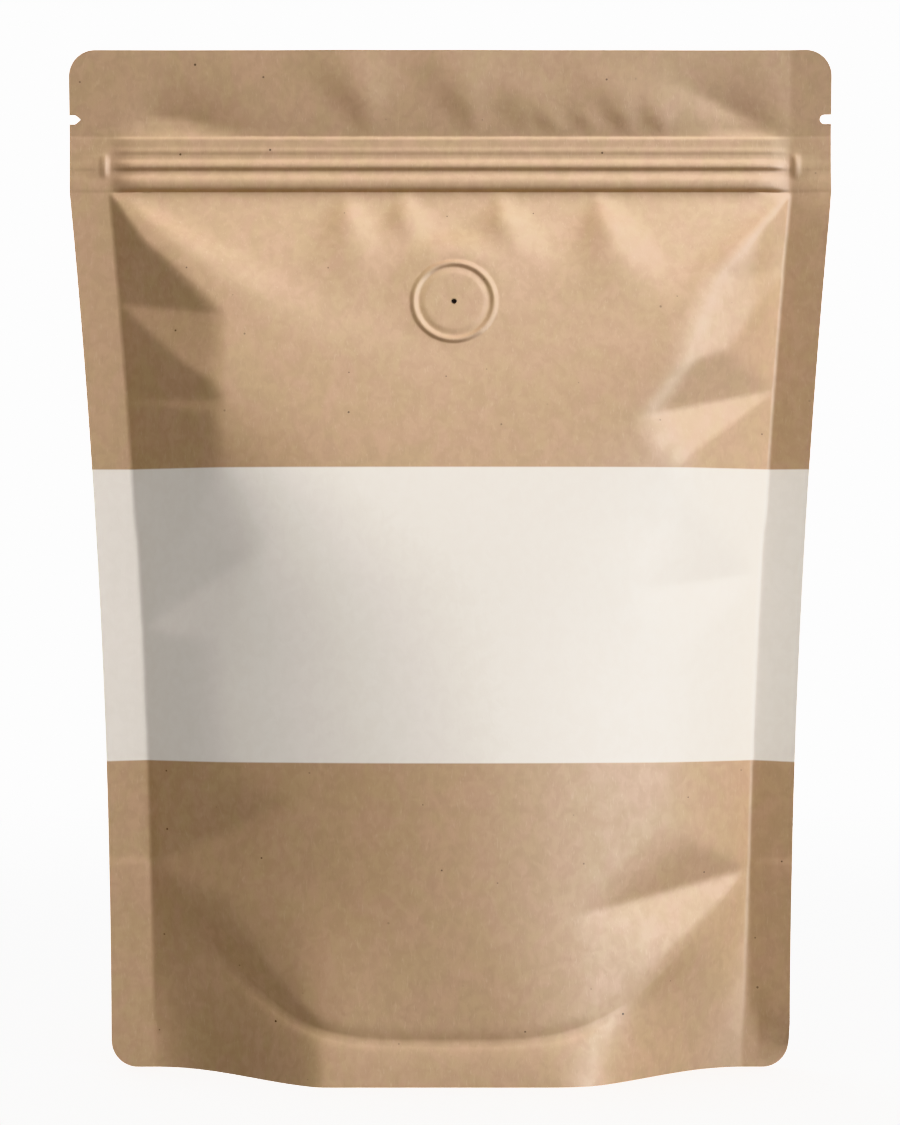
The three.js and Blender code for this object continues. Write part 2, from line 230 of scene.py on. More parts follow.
FRONT_PINCHES = [
    Pinch(-1, 172.5, 16.5, 2.2, 2.9, 0.12, 0.29, 0.3),
    Pinch(-1, 150.8, 19.0, 0.6, 1.9, 0.10, 0.30, 0.3),
    Pinch(-1, 139.0, 6.0, 0.0, 0.3, 0.25, 0.25, 0.4),
    Pinch(-1, 98.6, 22.5, -14.3, 1.2, 0.14, 0.20, 0.4),
    Pinch(-1, 75.1, 12.0, -3.0, 0.5, 0.25, 0.30, 0.3),
    Pinch(-1, 45.7, 21.0, -10.0, 2.0, 0.20, 0.20, 0.3),
    Pinch(1, 180.2, 13.0, 2.6, 1.8, 0.05, 0.17, 0.8),
    Pinch(1, 152.7, 23.0, 5.1, 2.6, 0.20, 0.34, 0.3),
    Pinch(1, 111.5, 23.0, 3.0, 0.5, 0.14, 0.16, 0.3),
    Pinch(1, 44.7, 33.0, 6.6, 0.6, 0.26, 0.30, 0.3),
]
BACK_PINCHES = [
    Pinch(-1, 158.0, 23.0, 4.0, 1.2, 0.26, 0.34, 0.4),
    Pinch(-1, 108.0, 24.0, 3.0, 1.0, 0.26, 0.30, 0.4),
    Pinch(-1, 46.0, 33.0, 6.0, 1.0, 0.26, 0.24, 0.4),
    Pinch(1, 168.0, 20.0, 1.0, 0.8, 0.05, 0.34, 0.4),
    Pinch(1, 147.0, 21.0, 1.0, 0.8, 0.05, 0.20, 0.4),
    Pinch(1, 94.0, 21.0, -10.0, 1.0, 0.10, 0.24, 0.4),
    Pinch(1, 45.0, 26.0, -12.0, 1.0, 0.10, 0.30, 0.4),
]
FRONT_PUCKERS = [
    Pucker(-75.0, 1.20, 1.2, 32, -1),
    Pucker(76.0, -0.62, 1.4, 42, -1),
    Pucker(-23.6, 0.15, 1.2, 20, -1),
    Pucker(-10.5, 0.15, 1.1, 16, -1),
    Pucker(10.9, 0.20, 1.4, 18, -1),
    Pucker(33.3, 0.25, 1.7, 22, -1),
    Pucker(-17.5, -0.28, 0.8, 26, 1),
    Pucker(6.2, -0.30, 0.7, 26, 1),
    Pucker(17.8, -0.30, 0.3, 16, 1),
    Pucker(24.3, -0.4, 0.4, 10, 1),
    Pucker(32.7, -0.4, 0.35, 10, 1),
    Pucker(41.0, -0.4, 0.6, 14, 1),
    Pucker(48.8, -0.4, 0.4, 10, 1),
]
BACK_PUCKERS = [
    Pucker(-38.0, -0.2, 0.9, 16, -1),
    Pucker(-12.0, -0.2, 1.1, 18, -1),
    Pucker(19.0, 0.2, 1.0, 16, -1),
    Pucker(-30.0, 0.4, 0.5, 12, 1),
    Pucker(14.0, -0.4, 0.6, 12, 1),
]
HEADER_FOLDS = [
    Fold(-1, 34.0, 3.6, 0.0, 1.3, 2.4, 6.0),
    Fold(1, 34.0, 0.0, 0.44, 1.2, 4.5, 6.0),
]
ZIP_RIBS = [
    Rib(199.5, 1.9, 2.6, 0.75),
    Rib(203.4, 1.2, 2.0, 0.65),
    Rib(206.8, 0.9, 1.2, 0.14),
]
# Real kraft fibres are about 0.03 mm wide, too fine to show, so they are drawn coarser.
GRAINS = [
    Grain("tint", 6.0, 8.0, 0.3, 0.30, 0.70, 0.8, "kraft_olive"),
    Grain("clouds", 2.4, 2.8, 0.0, 0.30, 0.70, 0.28, "kraft_dark"),
    Grain("pale_fibres", 0.40, 1.8, 0.5, 0.56, 0.80, 0.25, "fibre"),
    Grain("dark_fibres", 0.40, 1.8, -0.4, 0.56, 0.80, 0.25, "kraft_dark"),
]
LAMPS = [
    Lamp("key", (0.55, -0.34, 0.765), (0.9, 0.9), 34, True, False),
    Lamp("top_sheen", (0.20, -0.54, 0.82), (0.9, 0.6), 17, False, False),
    Lamp("side_sheen", (0.70, -0.70, 0.15), (0.4, 1.2), 72, False, False),
    Lamp("back", (-0.5, 0.8, 0.35), (1.0, 1.0), 8, True, True),
]

# Body: an arch low down, which opens out flat higher up, where the seals and the pinches hold it down.
# Zones are heights in millimetres. The body is rounded where it is held, less so close under the zip.
TAPER_POWER = 4.2
ZIP_FILLET = 2.0
ARCH_EDGE = 0.12
ARCH_EDGE_POWER = 10
FULL_POWER = 3.6
FULL_ZONE = (85, 150)
FLAT_ZONE = (118, 165)
DIP = 0.1
DIP_ZONE = (110, 170)
SEAL_SLOPE = 0.75
FACET_BLEND = 0.35
BODY_BLEND = 0.7
ZIP_BLEND = 0.3
BLEND_REACH = 30

# Foot: places across the skirt are shares of the way from the middle to a seal line.
SKIRT_CORNER = 0.42
SKIRT_END = 0.985
SKIRT_LEAD = 0.7
BEND_START = 0.4
BEND_SPAN = 1.2
SKIRT_ZONE = (8, 45)
SKIRT_FLARE = 0.6
MIDDLE_NIP = 0.35
NIP_MIDDLE = (0.55, 0.38)
NIP_EDGE = (1.0, 0.7)
ROLL_ZONE = (0.4, 0.7)
ROLL_MIDDLE = 2.5
ROLL_SIDE = 9.0
ROLL_BLEND = 0.25
CHEEK_START = (0.48, 0.72)
CHEEK_END = (1.0, 0.82)
CHEEK_LIFT = 9.0
CHEEK_REACH = 14
GUSSET_END = 0.84
GUSSET_CURVE = 1.6
BELLY_DROP = 1.5
BELLY_LIFT = 48.0
BELLY_CURVE = 4
FOLD_DROP = 4.0
SEAL_BAND = 1.0
BELOW_GROUND = 4.0

# Zip and header: the tape leans out to the body, which fans out under it, and a tenth of the tape's relief
# is left at its ends. Puckers swell and fade along shares of their reach.
ZIP_LEAN = 0.9
ZIP_END = 9
ZIP_FAN = 0.5
TAPE_RISE = 0.4
TAPE_TOP = 1.0
TAPE_FOOT = 0.2
TAPE_END = 5
TAPE_LEFT = 0.1
HEADER_POWER = 5
HEADER_LEAN = 0.105
FOLD_SKEW = 0.7
FOLD_PEAK = 0.4
FOLD_START = 1
FOLD_ROUND = 0.8
PUCKER_SWELL = (-0.05, 0.4)
PUCKER_FADE = (0.3, 1.5)
PUCKER_ENDS = (1.0, 0.9)
PUCKER_WIDE = 1.0
PUCKER_SPREAD = 0.45

# Valve: a bead, a groove inside it and a flat face, on paper that lies flat around it.
VALVE_LIFT = 0.3
VALVE_TILT = 0.8
VALVE_FLAT = (8, 0.5)
BEAD_HALF = 0.95
BEAD_POWER = 1.5
GROOVE = (1.9, 3.6)
FACE_RISE = 0.25

# Side seals: the zip's ends are welded into each as two ovals, given by their share of the way out over the
# seal and their rise.
LEAN_FOOT = (7.0, 17.0)
LEAN_CURVE = 3
LEAN_SOFT = 1.5
LEAN_HEADER = (190, 205)
HEADER_EASE = 0.6
WELDS = [(0.12, 0.6), (0.38, 0.2)]
WELD_Z = 203.6
WELD_WIDE = 0.09
WELD_HIGH = 2.4
FIN_CREASE = 0.22
FIN_CREASE_WIDE = 1.2
FIN_ROOT = 0.07

# Mesh fineness, and how far past the zip's edges and the valve the fine rows go
SKIRT_ROWS = 9
BODY_ROWS = 208
ZIP_ROWS = 52
HEADER_ROWS = 21
STEP_UNDER = 0.3
STEP_OVER = 0.4
BODY_COLUMNS = 137
CROWDING = 0.5
FIN_COLUMNS = [FIN_ROOT, 0.14, 0.21, 0.3, 0.42, 0.6, 0.8, 1.0]
VALVE_MARGIN = 1.6
VALVE_CUTS = 3
VALVE_SPARE = 3
GUSSET_COLUMNS = 65
GUSSET_ROWS = 25
SHARP_ANGLE = 55

# Die cuts. The left notch has a pointed tip: how far along it is, and its share of the notch's width there.
CUT_DEPTH = 12.0
CUT_OVER = 4.0
CORNER_POINTS = 20
NOTCH_POINTS = 14
NOTCH_TIP = [(0.9, 0.8), (1.3, 1.0)]
VENT_SEGMENTS = 24
VENT_DEPTH = 4

# Fine buckling of the paper: the size of its waves, and where it grows from the seals into the panels
BUCKLE_SIZE = 14
BUCKLE_DETAIL = 3.0
BUCKLE_ROUGHNESS = 0.55
BUCKLE_ZONE = (-1, 6)
BUCKLE_SEAL = 0.25
BUCKLE_SEED = 3.0

# Kraft paper. Specks have a spacing in millimetres, and their sizes are shares of it.
GRAIN_DETAIL = 2.0
GRAIN_ROUGHNESS = 0.5
GRAIN_DISTORTION = 0.6
SPECK_SPACING = 19
SPECK_LEAST = 0.006
SPECK_MORE = 0.008
# How far past the pin hole its painted shade reaches, as a share of the hole's radius
HOLE_SHADE_EDGE = 1.02
BAND_SAG = 0.2
BAND_SOFT = 0.12
BAND_CLOUDS = 0.04
ROUGHNESS = 0.5
ROUGHNESS_CLOUDS = 0.06
FUZZ_STRENGTH = 0.3
FUZZ_HEIGHT = 0.03
FILM_IOR = 1.38

# Studio, in metres, apart from the camera's sensor and lens. The floor fades out to the white around it.
WHITE = (1, 1, 1, 1)
FLOOR_RADIUS = 0.9
FLOOR_SEGMENTS = 96
FLOOR_FADE = (0.25, 0.85)
FLOOR_ROUGHNESS = 0.9
FLOOR_GLOW = 0.7
LAMP_AIM = (0, 0, 0.115)
LAMP_DISTANCE = 1.5
WORLD_LIGHT = 0.5
WORLD_SEEN = 4.0
CAMERA_PLACE = (0, -0.65, 0.114)
CAMERA_SENSOR = 36
CAMERA_LENS = 92.0


def lerp(a, b, share):
    return a + (b - a) * share


def smoothstep(low, high, value):
    share = np.clip((value - low) / (high - low), 0, 1)
    return share * share * (3 - 2 * share)


def soft_min(a, b, blend):
    """The lower of two surfaces, rounded where they meet."""
    share = np.clip(0.5 + 0.5 * (b - a) / blend, 0, 1)
    return lerp(b, a, share) - blend * share * (1 - share)


def by_side(across, name):
    """A value of the left side or the right, whichever a place is on."""
    return np.where(across < 0, getattr(LEFT, name), getattr(RIGHT, name))


class PouchShape:
    """The pouch's surface, in millimetres.

    A place is given by across, which is -1 and 1 on the two seal lines, and by the height z. A depth is
    how far a panel stands out from the plane of the side seals."""

    def __init__(self, sizes):
        for name in PouchSizes.__annotations__:
            setattr(self, name, getattr(sizes, name) / MM)
        middle = np.array(0.0)
        low = self.smooth_depth(middle, self.valve_z - 1)
        high = self.smooth_depth(middle, self.valve_z + 1)
        self.valve_depth = float(self.smooth_depth(middle, self.valve_z)) + VALVE_LIFT
        self.valve_slope = VALVE_TILT * float(high - low) / 2

    def half_width(self, z):
        rise = np.clip(z / self.zip_bottom, 0, 1) ** 2
        return lerp(self.foot_width, self.header_width, rise) / 2

    def seal_line(self, z):
        return self.half_width(z) - self.seal_width

    def inset_at(self, across, z):
        """How far a place lies inside the seal line."""
        return (1 - np.minimum(1, np.abs(across))) * self.seal_line(z)

    def foot_seal(self, across):
        """Height of the curved seal between the skirt and the body."""
        a = np.minimum(1, np.abs(across))
        return lerp(self.skirt_height, self.gusset_rise, a**4 * (3 - 2 * a))

    def skirt_plan(self, across, rounding):
        """The skirt seen from above: flat in the middle, a corner, then a bend back to the seal."""
        share = (np.abs(across) - SKIRT_CORNER) / (SKIRT_END - SKIRT_CORNER)
        wave = np.sin(np.pi * (np.clip(share, 0, 1) - BEND_START) / BEND_SPAN)
        bend = (1 - wave) / (1 + math.sin(math.pi * BEND_START / BEND_SPAN))
        bend = np.where(share < 0, 1 - SKIRT_LEAD * share, bend)
        return soft_min(1.0, bend, by_side(across, rounding))

    def end_fade(self, across, z):
        """Fades the zip's lean out at its ends."""
        return smoothstep(0, ZIP_END, self.inset_at(across, z))

    def body_depth_at(self, across, z):
        """The filled body, before the foot seal draws it in."""
        z = np.clip(z, 0, self.zip_bottom)
        full = self.body_depth - ZIP_LEAN
        steep = full * TAPER_POWER / self.zip_bottom
        taper = full * (1 - (z / self.zip_bottom) ** TAPER_POWER)
        taper = taper - steep * ZIP_FILLET * (1 - np.exp((z - self.zip_bottom) / ZIP_FILLET))
        a = np.minimum(1, np.abs(across))
        arch = 1 - (1 - ARCH_EDGE) * a**2 - ARCH_EDGE * a**ARCH_EDGE_POWER
        section = lerp(arch, 1 - a**FULL_POWER, smoothstep(*FULL_ZONE, z))
        plan = lerp(self.skirt_plan(across, "corner"), section, smoothstep(*SKIRT_ZONE, z))
        flat = smoothstep(*FLAT_ZONE, z)
        dip = 1 - DIP * (1 - a**2) ** 2 * smoothstep(*DIP_ZONE, z)
        return ZIP_LEAN * lerp(self.end_fade(across, z), 1, flat) + taper * dip * lerp(plan, 1, flat)

    def foot_nip(self, across):
        """How far the foot seal draws the body in."""
        out = np.abs(across)
        side = by_side(across, "nip") * smoothstep(*NIP_EDGE, out)
        return lerp(side, MIDDLE_NIP, smoothstep(*NIP_MIDDLE, out))

    def cheek(self, across, above):
        """How far the body swells out over the foot seal: above it on the left, and on it on the right."""
        out = np.abs(across)
        full = by_side(across, "cheek") * smoothstep(*CHEEK_START, out) * smoothstep(*CHEEK_END, out)
        past = np.maximum(above - CHEEK_LIFT, 0) / CHEEK_REACH
        left = smoothstep(0, CHEEK_LIFT, above) * np.exp(-(past**2))
        right = np.exp(-((above / CHEEK_REACH) ** 2))
        return full * np.where(across < 0, left, right)

    def smooth_depth(self, across, z):
        """The panel before it is pinched: the skirt, and the body that rolls over the foot seal."""
        seal = self.foot_seal(across)
        nip = self.foot_nip(across)
        above = np.maximum(z - seal, 0)
        reach = lerp(ROLL_MIDDLE, ROLL_SIDE, smoothstep(*ROLL_ZONE, np.abs(across)))
        roll = nip * (1 - soft_min(1.0, above / reach, ROLL_BLEND))
        body = self.body_depth_at(across, np.maximum(z, seal)) - roll + self.cheek(across, above)
        at_seal = self.body_depth_at(across, seal) - nip + self.cheek(across, 0)
        flare = np.clip(1 - z / seal, 0, 1) ** SKIRT_FLARE
        skirt = lerp(at_seal, self.foot_depth * self.skirt_plan(across, "hem"), flare)
        return np.where(z < seal, skirt, body)

    def header_depth(self, across, z):
        rise = np.clip((z - self.zip_top) / (self.height - self.zip_top), 0, 1)
        edge = np.minimum(1, np.abs(across)) ** HEADER_POWER
        return self.header_bulge * np.sin(np.pi * rise) * (1 - edge)

    def header_shift(self, across, z):
        """How far back the header lies, both panels together: its lean forwards, and its folds."""
        above = z - self.zip_top
        total = -HEADER_LEAN * np.maximum(above, 0)
        for fold in HEADER_FOLDS:
            inset = (1 - across * fold.side) * self.seal_line(z)
            share = np.clip(inset / fold.reach, 0, 1)
            crest = fold.arch * np.sin(np.pi * share**FOLD_SKEW) + fold.climb * inset
            away = (above - crest) / math.hypot(1, fold.climb)
            fade = smoothstep(0, FOLD_PEAK, share) * (1 - smoothstep(FOLD_PEAK, 1, share))
            fade = fade * smoothstep(0, FOLD_START, above)
            width = np.where(away < 0, fold.low, fold.high)
            total = total + fold.back * fade * np.exp(-np.hypot(away, FOLD_ROUND) / width)
        return total

    def zip_depth(self, across, z):
        """The zip's tape leans out from the header to the body."""
        share = np.clip((self.zip_top - z) / (self.zip_top - self.zip_bottom), 0, 1)
        return ZIP_LEAN * share * self.end_fade(across, z)

    def pinch_limit(self, pinch, across, z):
        """The two facets of a pinch, which hold the panel down."""
        inset = (1 - across * pinch.side) * self.seal_line(z)
        tip_z = pinch.seal - pinch.drop
        tip_across = pinch.side * (1 - pinch.inset / self.seal_line(tip_z))
        tip_depth = self.smooth_depth(np.array(tip_across), np.array(tip_z)) - pinch.sink
        valley = tip_depth / pinch.inset * inset
        above = z - (pinch.seal - pinch.drop * inset / pinch.inset)
        bend = np.sqrt(above**2 + pinch.crisp**2) - pinch.crisp
        return valley + (pinch.up + pinch.down) / 2 * bend + (pinch.up - pinch.down) / 2 * above

    def pucker_depth(self, puckers, x, z):
        total = 0
        for pucker in puckers:
            run = z - self.zip_top if pucker.way > 0 else self.zip_bottom - z
            share = run / pucker.reach
            swell = smoothstep(*PUCKER_SWELL, share) * (1 - smoothstep(*PUCKER_FADE, share))
            width = PUCKER_WIDE + PUCKER_SPREAD * np.maximum(run, 0)
            aside = (x - pucker.x - pucker.lean * run) / width
            total = total + pucker.height * swell * np.exp(-(aside**2))
        return total

    def valve_relief(self, away):
        """The valve pressed into the paper, by the distance from its middle."""
        crest = self.valve_radius - BEAD_HALF
        bead = np.clip(1 - np.abs(away - crest) / BEAD_HALF, 0, 1)
        face = smoothstep(self.valve_radius - GROOVE[0], self.valve_radius - GROOVE[1], away)
        return self.valve_rise * np.sin(np.pi / 2 * bead) ** BEAD_POWER + FACE_RISE * face

    def panel_depth(self, pinches, puckers, across, z):
        """A panel: the body that its seals and pinches hold down, the zip, the header and the puckers."""
        limit = SEAL_SLOPE * self.inset_at(across, z)
        for pinch in pinches:
            limit = soft_min(limit, self.pinch_limit(pinch, across, z), FACET_BLEND)
        under = np.maximum(self.zip_bottom - z, 0)
        away = np.minimum(under / BLEND_REACH, 1)
        blend = BODY_BLEND * lerp(ZIP_BLEND, by_side(across, "blend"), away)
        body = soft_min(self.smooth_depth(across, z), limit, blend)
        body = np.minimum(body, ZIP_LEAN * self.end_fade(across, z) + ZIP_FAN * under)
        header = self.header_depth(across, z) + self.zip_depth(across, z)
        depth = np.where(z > self.zip_bottom, header, np.maximum(0, body))
        ridges = self.pucker_depth(puckers, across * self.seal_line(z), z)
        return depth + ridges * smoothstep(*PUCKER_ENDS, np.abs(across))

    def front_depth(self, across, z):
        depth = self.panel_depth(FRONT_PINCHES, FRONT_PUCKERS, across, z)
        x = across * self.seal_line(z)
        rise = (z - self.valve_z) * math.hypot(1, self.valve_slope)
        away = np.hypot(x - self.valve_x, rise)
        flat = self.valve_depth + self.valve_slope * (z - self.valve_z)
        held = smoothstep(self.valve_radius + VALVE_FLAT[0], self.valve_radius + VALVE_FLAT[1], away)
        return lerp(depth, flat, held) + self.valve_relief(away)

    def back_depth(self, across, z):
        return self.panel_depth(BACK_PINCHES, BACK_PUCKERS, across, z)

    def fin_shift(self, across, out, z):
        """How far forward a point on a side seal is: its lean, the zip's welds and a crease across it."""
        foot = lerp(*LEAN_FOOT, (1 - out) ** LEAN_CURVE)
        hold = smoothstep(foot - LEAN_SOFT, foot + LEAN_SOFT, z)
        hold = hold * (1 - HEADER_EASE * smoothstep(*LEAN_HEADER, z))
        weld = 0
        for place, rise in WELDS:
            aside = ((out - place) / WELD_WIDE) ** 2
            weld = weld + rise * np.exp(-aside - ((z - WELD_Z) / WELD_HIGH) ** 4)
        crease = FIN_CREASE * np.exp(-(((z - self.gusset_rise) / FIN_CREASE_WIDE) ** 2))
        lean = by_side(across, "lean") * hold * out * self.seal_width
        return lean + (weld + crease) * smoothstep(0, FIN_ROOT, out)

    def draw_zip(self, mapping):
        """Draws the zip's profile in millimetres, from its lower edge up: the tape and its ribs."""
        span = self.zip_top - self.zip_bottom
        points = [(0.0, 0.0), (span - TAPE_TOP, TAPE_RISE), (span, 0.0)]
        for rib in ZIP_RIBS:
            up = rib.z - self.zip_bottom
            points.append((up, TAPE_RISE + rib.rise))
            points += [(up - rib.under, TAPE_RISE), (up + rib.over, TAPE_RISE)]
        points = sorted(p for p in points if p[0] > TAPE_FOOT or p[1] == 0)
        curve = mapping.curves[0]
        while len(curve.points) < len(points):
            curve.points.new(0.5, 0.5)
        for point, (z, rise) in zip(curve.points, points):
            point.location = (z / span, rise)
            point.handle_type = "AUTO_CLAMPED"
        mapping.use_clip = False
        mapping.update()

    def rows(self):
        """Each row is a share of the foot seal's height and a lift, so one row runs along that seal."""
        rows = [(i / SKIRT_ROWS, 0.0) for i in range(SKIRT_ROWS)]
        low = self.zip_bottom - STEP_UNDER
        high = self.zip_top + STEP_OVER
        rows += [(1 - i / BODY_ROWS, low * i / BODY_ROWS) for i in range(BODY_ROWS)]
        rows += [(0.0, z) for z in np.linspace(low, high, ZIP_ROWS)]
        rows += [(0.0, z) for z in np.linspace(high, self.height, HEADER_ROWS)[1:]]
        return np.array(rows)

    def columns(self):
        """Each column is a place across the body, and a share of the way out over a side seal."""
        even = np.linspace(-1, 1, BODY_COLUMNS)
        across = lerp(even, np.sin(np.pi / 2 * even), CROWDING)
        left = [(-1.0, out) for out in FIN_COLUMNS[::-1]]
        right = [(1.0, out) for out in FIN_COLUMNS]
        return np.array(left + [(a, 0.0) for a in across] + right)


def add_node(tree, kind, inputs=None, **settings):
    """Adds a node with its settings. Each input is a value, or the socket that it is linked to."""
    made = tree.nodes.new(kind)
    for name, value in settings.items():
        setattr(made, name, value)
    for key, value in (inputs or {}).items():
        if isinstance(value, bpy.types.NodeSocket):
            tree.links.new(value, made.inputs[key])
        else:
            made.inputs[key].default_value = value
    return made


def add_object(name, mesh):
    made = bpy.data.objects.new(name, mesh)
    bpy.context.scene.collection.objects.link(made)
    return made


def mesh_of(name, points, faces):
    """A mesh from points in millimetres."""
    mesh = bpy.data.meshes.new(name)
    mesh.from_pydata((np.asarray(points) * MM).tolist(), [], faces)
    mesh.validate()
    return mesh


def closed_grid(front, back):
    """Joins two grids of points, seen from the front, into one closed skin."""
    up, wide = front.shape[:2]
    points = np.concatenate([front.reshape(-1, 3), back.reshape(-1, 3)])
    first = np.arange(up * wide).reshape(up, wide)
    second = first + up * wide
    faces = []
    for grid, turn in ((first, False), (second, True)):
        corners = [grid[:-1, :-1], grid[:-1, 1:], grid[1:, 1:], grid[1:, :-1]]
        quads = np.stack(corners[::-1] if turn else corners, -1).reshape(-1, 4)
        faces += quads.tolist()
    loop = [*first[0, :], *first[1:, -1], *first[-1, -2::-1], *first[-2:0:-1, 0]]
    mate = [*second[0, :], *second[1:, -1], *second[-1, -2::-1], *second[-2:0:-1, 0]]
    for i in range(len(loop)):
        j = (i + 1) % len(loop)
        faces.append([int(loop[j]), int(loop[i]), int(mate[i]), int(mate[j])])
    return points, faces


def pouch_skin(shape):
    """The two panels and their side seals as one closed skin, before the zip is pressed in."""
    rows = shape.rows()
    columns = shape.columns()
    across = np.broadcast_to(columns[:, 0], (len(rows), len(columns)))
    out = np.broadcast_to(columns[:, 1], across.shape)
    z = rows[:, :1] * shape.foot_seal(across) + rows[:, 1:]
    x = across * (shape.seal_line(z) + out * shape.seal_width)
    shift = shape.fin_shift(across, out, z) - shape.header_shift(across, z)
    front = -(shape.film / 2 + shape.front_depth(across, z)) - shift
    back = shape.film / 2 + shape.back_depth(across, z) - shift
    points, faces = closed_grid(np.stack([x, front, z], -1), np.stack([x, back, z], -1))
    mesh = mesh_of("paper_pouch", points, faces)
    refine_valve(mesh, shape)
    return mesh


def refine_valve(mesh, shape):
    """Divides the front around the valve finely enough to carry the pressed ring."""
    bm = bmesh.new()
    bm.from_mesh(mesh)
    reach = shape.valve_radius + VALVE_MARGIN
    place = Vector((shape.valve_x, 0, shape.valve_z))

    def near(point, radius):
        return point.y < 0 and (point / MM - place).xz.length < radius

    faces = [face for face in bm.faces if near(face.calc_center_median(), reach)]
    edges = {edge for face in faces for edge in face.edges}
    bmesh.ops.subdivide_edges(bm, edges=list(edges), cuts=VALVE_CUTS, use_grid_fill=True)
    verts = [vert for vert in bm.verts if near(vert.co, reach + VALVE_SPARE)]
    x = np.array([vert.co.x for vert in verts]) / MM
    z = np.array([vert.co.z for vert in verts]) / MM
    depths = shape.front_depth(x / shape.seal_line(z), z)
    for vert, depth in zip(verts, depths):
        vert.co.y = -(shape.film / 2 + depth) * MM
    bm.to_mesh(mesh)
    bm.free()


def mark_skin(mesh, shape):
    """Stores how far each point is inside the seal line, and which way its panel faces."""
    points = np.zeros(len(mesh.vertices) * 3)
    mesh.vertices.foreach_get("co", points)
    x, y, z = points.reshape(-1, 3).T / MM
    inset = (shape.seal_line(z) - np.abs(x)) * MM
    out = np.maximum(0, np.abs(x) - shape.seal_line(z)) / shape.seal_width
    middle = shape.header_shift(x / shape.seal_line(z), z) - shape.fin_shift(x, out, z)
    for name, values in (("inset", inset), ("facing", np.where(y < middle, -1.0, 1.0))):
        layer = mesh.attributes.new(name, "FLOAT", "POINT")
        layer.data.foreach_set("value", values.astype(np.float32))


def pressed_paper_tree(shape):
    """Geometry nodes that press the zip into the paper along its profile, and buckle the paper finely."""
    tree = bpy.data.node_groups.new("pressed_paper", "GeometryNodeTree")
    tree.is_modifier = True
    sockets = tree.interface
    sockets.new_socket("Geometry", in_out="INPUT", socket_type="NodeSocketGeometry")
    for name in ("Zip bottom", "Zip top", "Relief", "Buckle", "Seed"):
        sockets.new_socket(name, in_out="INPUT", socket_type="NodeSocketFloat")
    sockets.new_socket("Paper", in_out="INPUT", socket_type="NodeSocketMaterial")
    sockets.new_socket("Geometry", in_out="OUTPUT", socket_type="NodeSocketGeometry")
    given = add_node(tree, "NodeGroupInput").outputs

    position = add_node(tree, "GeometryNodeInputPosition").outputs[0]
    height = add_node(tree, "ShaderNodeSeparateXYZ", {0: position}).outputs["Z"]
    stored = {}
    for name in ("inset", "facing"):
        layer = add_node(tree, "GeometryNodeInputNamedAttribute", {"Name": name}, data_type="FLOAT")
        stored[name] = layer.outputs[0]

    span = {"Value": height, "From Min": given["Zip bottom"], "From Max": given["Zip top"]}
    share = add_node(tree, "ShaderNodeMapRange", span).outputs[0]
    profile = add_node(tree, "ShaderNodeFloatCurve", {"Value": share})
    shape.draw_zip(profile.mapping)
    ends = {"Value": stored["inset"], "From Max": TAPE_END * MM, "To Min": TAPE_LEFT}
    ends = add_node(tree, "ShaderNodeMapRange", ends, interpolation_type="SMOOTHSTEP").outputs[0]
    deep = add_node(tree, "ShaderNodeMath", {0: given["Relief"], 1: ends}, operation="MULTIPLY").outputs[0]
    pressed = {0: profile.outputs[0], 1: deep}
    pressed = add_node(tree, "ShaderNodeMath", pressed, operation="MULTIPLY").outputs[0]

    waves = {"Vector": position, "W": given["Seed"], "Scale": 1 / (BUCKLE_SIZE * MM)}
    waves |= {"Detail": BUCKLE_DETAIL, "Roughness": BUCKLE_ROUGHNESS}
    waves = add_node(tree, "ShaderNodeTexNoise", waves, noise_dimensions="4D").outputs[0]
    low, high = BUCKLE_ZONE
    loose = {"Value": stored["inset"], "From Min": low * MM, "From Max": high * MM, "To Min": BUCKLE_SEAL}
    loose = add_node(tree, "ShaderNodeMapRange", loose, interpolation_type="SMOOTHSTEP").outputs[0]
    room = add_node(tree, "ShaderNodeMath", {0: given["Buckle"], 1: loose}, operation="MULTIPLY").outputs[0]
    level = add_node(tree, "ShaderNodeMath", {0: waves, 1: 0.5}, operation="SUBTRACT").outputs[0]
    out = {0: level, 1: room, 2: pressed}
    out = add_node(tree, "ShaderNodeMath", out, operation="MULTIPLY_ADD").outputs[0]
    shift = add_node(tree, "ShaderNodeMath", {0: out, 1: stored["facing"]}, operation="MULTIPLY").outputs[0]
    offset = add_node(tree, "ShaderNodeCombineXYZ", {"Y": shift}).outputs[0]
    moved = {"Geometry": given["Geometry"], "Offset": offset}
    moved = add_node(tree, "GeometryNodeSetPosition", moved).outputs[0]
    real = add_node(tree, "GeometryNodeRealizeInstances", {0: moved}).outputs[0]
    dressed = {"Geometry": real, "Material": given["Paper"]}
    dressed = add_node(tree, "GeometryNodeSetMaterial", dressed).outputs[0]
    add_node(tree, "NodeGroupOutput", {0: dressed})
    return tree


def set_inputs(modifier, values):
    """Sets a modifier's inputs by their sockets' identifiers."""
    for item in modifier.node_group.interface.items_tree:
        if item.in_out == "INPUT" and item.name in values:
            modifier[item.identifier] = values[item.name]


def baked(piece):
    """Gives a piece the mesh that its modifiers make, and takes them off."""
    graph = bpy.context.evaluated_depsgraph_get()
    mesh = bpy.data.meshes.new_from_object(piece.evaluated_get(graph))
    piece.modifiers.clear()
    old = piece.data
    piece.data = mesh
    bpy.data.meshes.remove(old)
    mesh.name = piece.name


def cut_with(piece, cutters):
    """Takes each cutter out of the piece."""
    for cutter in cutters:
        modifier = piece.modifiers.new(cutter.name, "BOOLEAN")
        modifier.operation = "DIFFERENCE"
        modifier.solver = "MANIFOLD"
        modifier.object = cutter
    baked(piece)
    for cutter in cutters:
        mesh = cutter.data
        bpy.data.objects.remove(cutter)
        bpy.data.meshes.remove(mesh)


